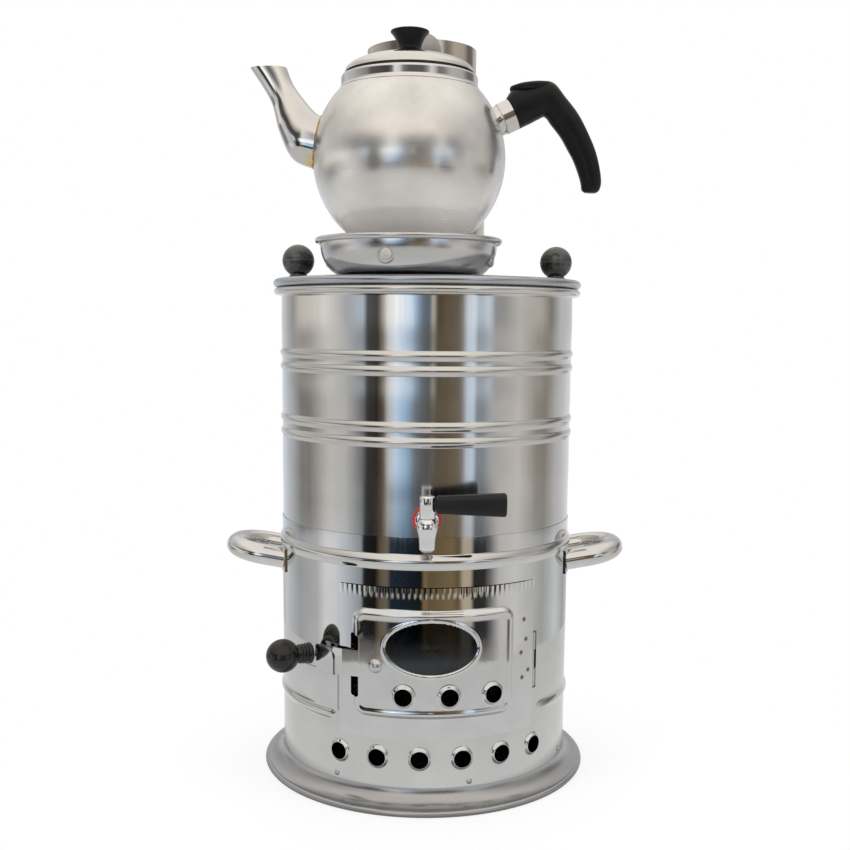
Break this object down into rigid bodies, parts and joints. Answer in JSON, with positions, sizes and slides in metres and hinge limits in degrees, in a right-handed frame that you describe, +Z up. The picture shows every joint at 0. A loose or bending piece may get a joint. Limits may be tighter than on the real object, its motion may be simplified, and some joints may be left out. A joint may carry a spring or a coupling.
{
  "type": "samovar",
  "caption": "Wood-fired samovar with a hinged, latched fire door, a front tap, a loose tank lid, a chimney and a teapot on a steam stand.",
  "frame": {"origin": "on the floor, in the middle of the base ring, under the axis of the tank", "axes": "+Z up along the tank's axis; the tap and the door face -Y; +X to the right as seen from the front, where the teapot's grip points"},
  "size_m": [0.3786, 0.3225, 0.686],
  "materials": {
    "tank_steel": "satin stainless sheet with fine upright scratches",
    "fire_shell_steel": "polished stainless sheet, slightly uneven",
    "door_steel": "mirror-bright pressed stainless sheet",
    "base_steel": "satin stainless sheet",
    "lid_steel": "satin stainless sheet",
    "dull_steel": "unpolished stainless sheet",
    "cast_iron": "rough dark iron",
    "handle_chrome": "polished tube",
    "tap_chrome": "bright chrome plate",
    "tap_brass": "bare brass",
    "red_silicone": "soft red washer",
    "fastener_steel": "plain steel",
    "ball_black": "glossy black bakelite",
    "lever_black": "matte black plastic",
    "grip_black": "satin black bakelite",
    "chimney_steel": "warm stainless sheet",
    "stand_steel": "pressed satin stainless",
    "teapot_steel": "polished stainless",
    "spout_steel": "polished stainless with a gold heat tint at the weld"
  },
  "bodies": {
    "body": {"base_ring": "base_steel", "base_screws": "fastener_steel", "ash_pan": "dull_steel", "fire_shell": "fire_shell_steel", "grate_brackets": "dull_steel", "fire_grate": "cast_iron", "tank_shell": "tank_steel", "tank_bottom": "dull_steel", "flue_tube": "dull_steel", "handle_feet": "handle_chrome", "handle_left": "handle_chrome", "handle_right": "handle_chrome", "tap_gasket": "red_silicone", "tap_body": "tap_chrome", "tap_nut": "tap_brass", "hinge_leaf_fixed": "fastener_steel", "hinge_pin": "fastener_steel", "latch_catch": "door_steel"},
    "door": {"door_plate": "door_steel", "hinge_leaf_door": "fastener_steel", "latch_rivet": "fastener_steel"},
    "latch": {"latch_strap": "door_steel", "latch_stud": "fastener_steel", "latch_knob": "ball_black"},
    "tap": {"tap_plug": "tap_chrome", "tap_lever": "lever_black"},
    "lid": {"tank_lid": "lid_steel", "lid_knobs": "ball_black", "lid_knob_screws": "fastener_steel", "chimney_collar": "chimney_steel"},
    "chimney": {"chimney_pipe": "chimney_steel", "chimney_tab": "chimney_steel"},
    "stand": {"teapot_stand": "stand_steel"},
    "teapot": {"teapot_body": "teapot_steel", "teapot_neck": "teapot_steel", "teapot_spout": "spout_steel", "handle_ferrule": "spout_steel", "handle_stud": "fastener_steel", "teapot_handle": "grip_black"},
    "teapot_cover": {"teapot_lid": "teapot_steel", "lid_handle": "grip_black", "lid_handle_screw": "fastener_steel"}
  },
  "joints": [
    {"name": "door_hinge", "type": "hinge", "parent": "body", "child": "door", "pos_m": [0.09549, -0.09549, 0.123], "axis": [0, 0, 1], "range_deg": [0, 110]},
    {"name": "latch_lift", "type": "hinge", "parent": "door", "child": "latch", "pos_m": [-0.04241, -0.12975, 0.1274], "axis": [0.3107, 0.9505, 0], "range_deg": [0, 27]},
    {"name": "tap_turn", "type": "hinge", "parent": "body", "child": "tap", "pos_m": [0, -0.16, 0.2555], "axis": [0, 0, -1], "range_deg": [0, 90]},
    {"name": "lid_lift", "type": "slide", "parent": "body", "child": "lid", "axis": [0, 0, 1], "range_m": [0, 0.04]},
    {"name": "chimney_lift", "type": "slide", "parent": "lid", "child": "chimney", "axis": [0, 0, 1], "range_m": [0, 0.06]},
    {"name": "stand_lift", "type": "slide", "parent": "lid", "child": "stand", "axis": [0, 0, 1], "range_m": [0, 0.03]},
    {"name": "teapot_lift", "type": "slide", "parent": "stand", "child": "teapot", "axis": [0, 0, 1], "range_m": [0, 0.04]},
    {"name": "teapot_cover_lift", "type": "slide", "parent": "teapot", "child": "teapot_cover", "axis": [0, 0, 1], "range_m": [0, 0.04]}
  ]
}
